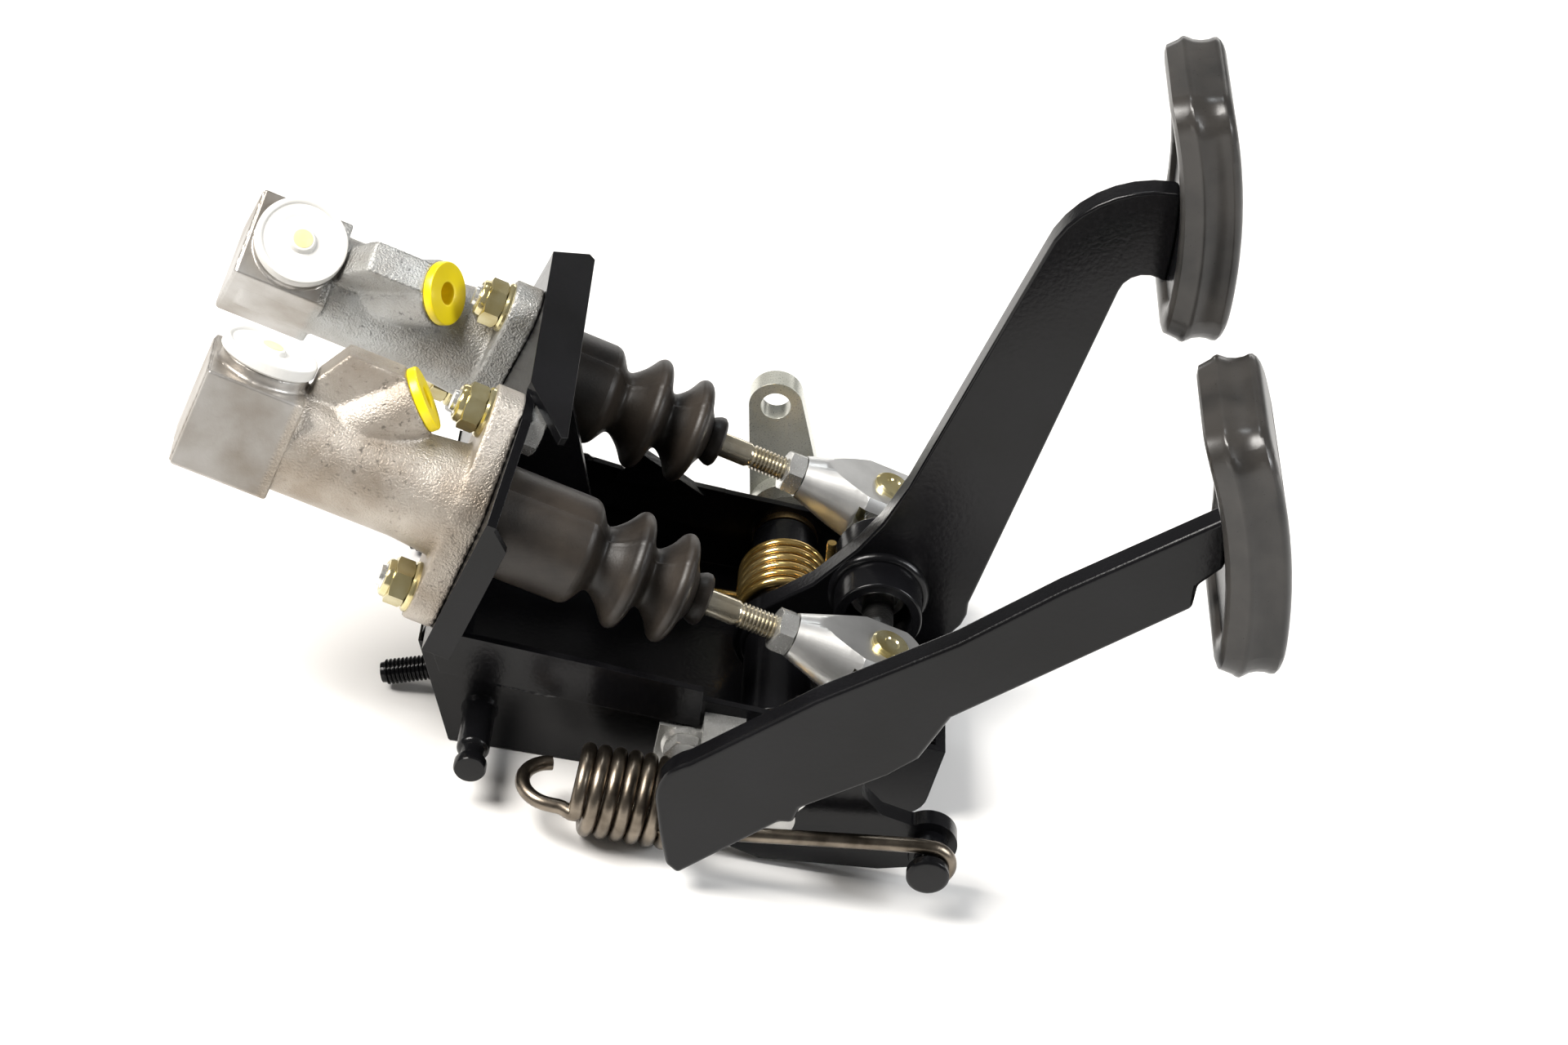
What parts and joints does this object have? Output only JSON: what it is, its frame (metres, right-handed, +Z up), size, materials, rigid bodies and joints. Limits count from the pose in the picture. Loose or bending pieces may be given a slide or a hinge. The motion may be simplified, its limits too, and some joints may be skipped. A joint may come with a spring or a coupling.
{
  "type": "pedal box",
  "caption": "Floor-mounted pedal box: steel tray, twin master cylinders worked by the brake pedal through a balance bar, clutch pedal on a cross shaft with a cable lever.",
  "frame": {"origin": "middle of the tray's underside", "axes": "+X rearward towards the pads, +Y away from the clutch side, +Z up"},
  "size_m": [0.3173, 0.2253, 0.248],
  "materials": {
    "black_paint": "gloss black",
    "cast_aluminium": "as cast",
    "turned_aluminium": "turned and milled",
    "white_plastic": "moulded",
    "yellow_plastic": "moulded",
    "rubber": "matt",
    "gold_zinc": "yellow passivated zinc",
    "bronze": "turned",
    "silver_zinc": "clear zinc plate",
    "spring_steel": "oiled"
  },
  "bodies": {
    "base": {"tray": "black_paint", "bracket": "black_paint", "cylinder_near": "cast_aluminium", "cylinder_far": "cast_aluminium", "port_cap_near": "white_plastic", "port_cap_far": "white_plastic", "inlet_plug_near": "yellow_plastic", "inlet_plug_far": "yellow_plastic", "bolt_near_top": "silver_zinc", "bolt_near_low": "silver_zinc", "bolt_far_top": "silver_zinc", "bolt_far_low": "silver_zinc", "nut_near_top": "gold_zinc", "nut_near_low": "gold_zinc", "nut_far_top": "gold_zinc", "nut_far_low": "gold_zinc", "boot_near": "rubber", "boot_far": "rubber", "piston_spring_near": "spring_steel", "piston_spring_far": "spring_steel", "stud_near": "black_paint", "stud_far": "black_paint", "anchor_pin": "black_paint", "stop_plate": "silver_zinc", "stop_bolt": "silver_zinc", "wall_bush_near": "bronze", "wall_bush_far": "bronze", "torsion_spring": "gold_zinc"},
    "pistons": {"piston_near": "bronze", "piston_far": "bronze"},
    "brake_pedal": {"brake_arm": "black_paint", "brake_hub": "black_paint", "hub_bush_near": "bronze", "hub_bush_far": "bronze", "balance_tube": "black_paint", "brake_pad_plate": "black_paint", "brake_pad": "rubber"},
    "push_rods": {"balance_bar": "spring_steel", "bar_bearing": "spring_steel", "barrel_near": "gold_zinc", "barrel_far": "gold_zinc", "clevis_near": "turned_aluminium", "clevis_far": "turned_aluminium", "push_rod_near": "gold_zinc", "push_rod_far": "gold_zinc", "lock_nut_near": "silver_zinc", "lock_nut_far": "silver_zinc"},
    "clutch_pedal": {"cross_shaft": "spring_steel", "clutch_arm": "black_paint", "clutch_spacer": "black_paint", "helper_lever": "black_paint", "helper_pin": "black_paint", "lever_bolt": "silver_zinc", "clutch_pad_plate": "black_paint", "clutch_pad": "rubber", "cable_lever": "silver_zinc", "cable_bolt": "silver_zinc"},
    "helper_spring": {"helper_spring": "spring_steel"}
  },
  "joints": [
    {"name": "brake_pivot", "type": "hinge", "parent": "base", "child": "brake_pedal", "pos_m": [0.024, 0, 0.018], "axis": [0, -1, 0], "range_deg": [0, 12], "stiffness_Nm_per_rad": 3, "springref_deg": -14.32, "deforming": ["torsion_spring"]},
    {"name": "rod_pivot", "type": "hinge", "parent": "brake_pedal", "child": "push_rods", "pos_m": [0.051, 0, 0.045], "axis": [0, -1, 0], "range_deg": [-11, 0]},
    {"name": "piston_slide", "type": "slide", "parent": "base", "child": "pistons", "axis": [-0.9681, 0, 0.2504], "range_m": [0, 0.008], "deforming": ["boot_near", "boot_far", "piston_spring_near", "piston_spring_far"]},
    {"name": "clutch_pivot", "type": "hinge", "parent": "base", "child": "clutch_pedal", "pos_m": [0.024, 0, 0.018], "axis": [0, -1, 0], "range_deg": [0, 26]},
    {"name": "spring_swing", "type": "hinge", "parent": "clutch_pedal", "child": "helper_spring", "pos_m": [0.073, -0.0973, 0.018], "axis": [0, -1, 0], "range_deg": [-28, 0]}
  ],
  "couplings": [
    {"joint": "rod_pivot", "follows": "brake_pivot", "ratio": -0.8917},
    {"joint": "piston_slide", "follows": "brake_pivot", "m_per_rad": 0.03468}
  ]
}
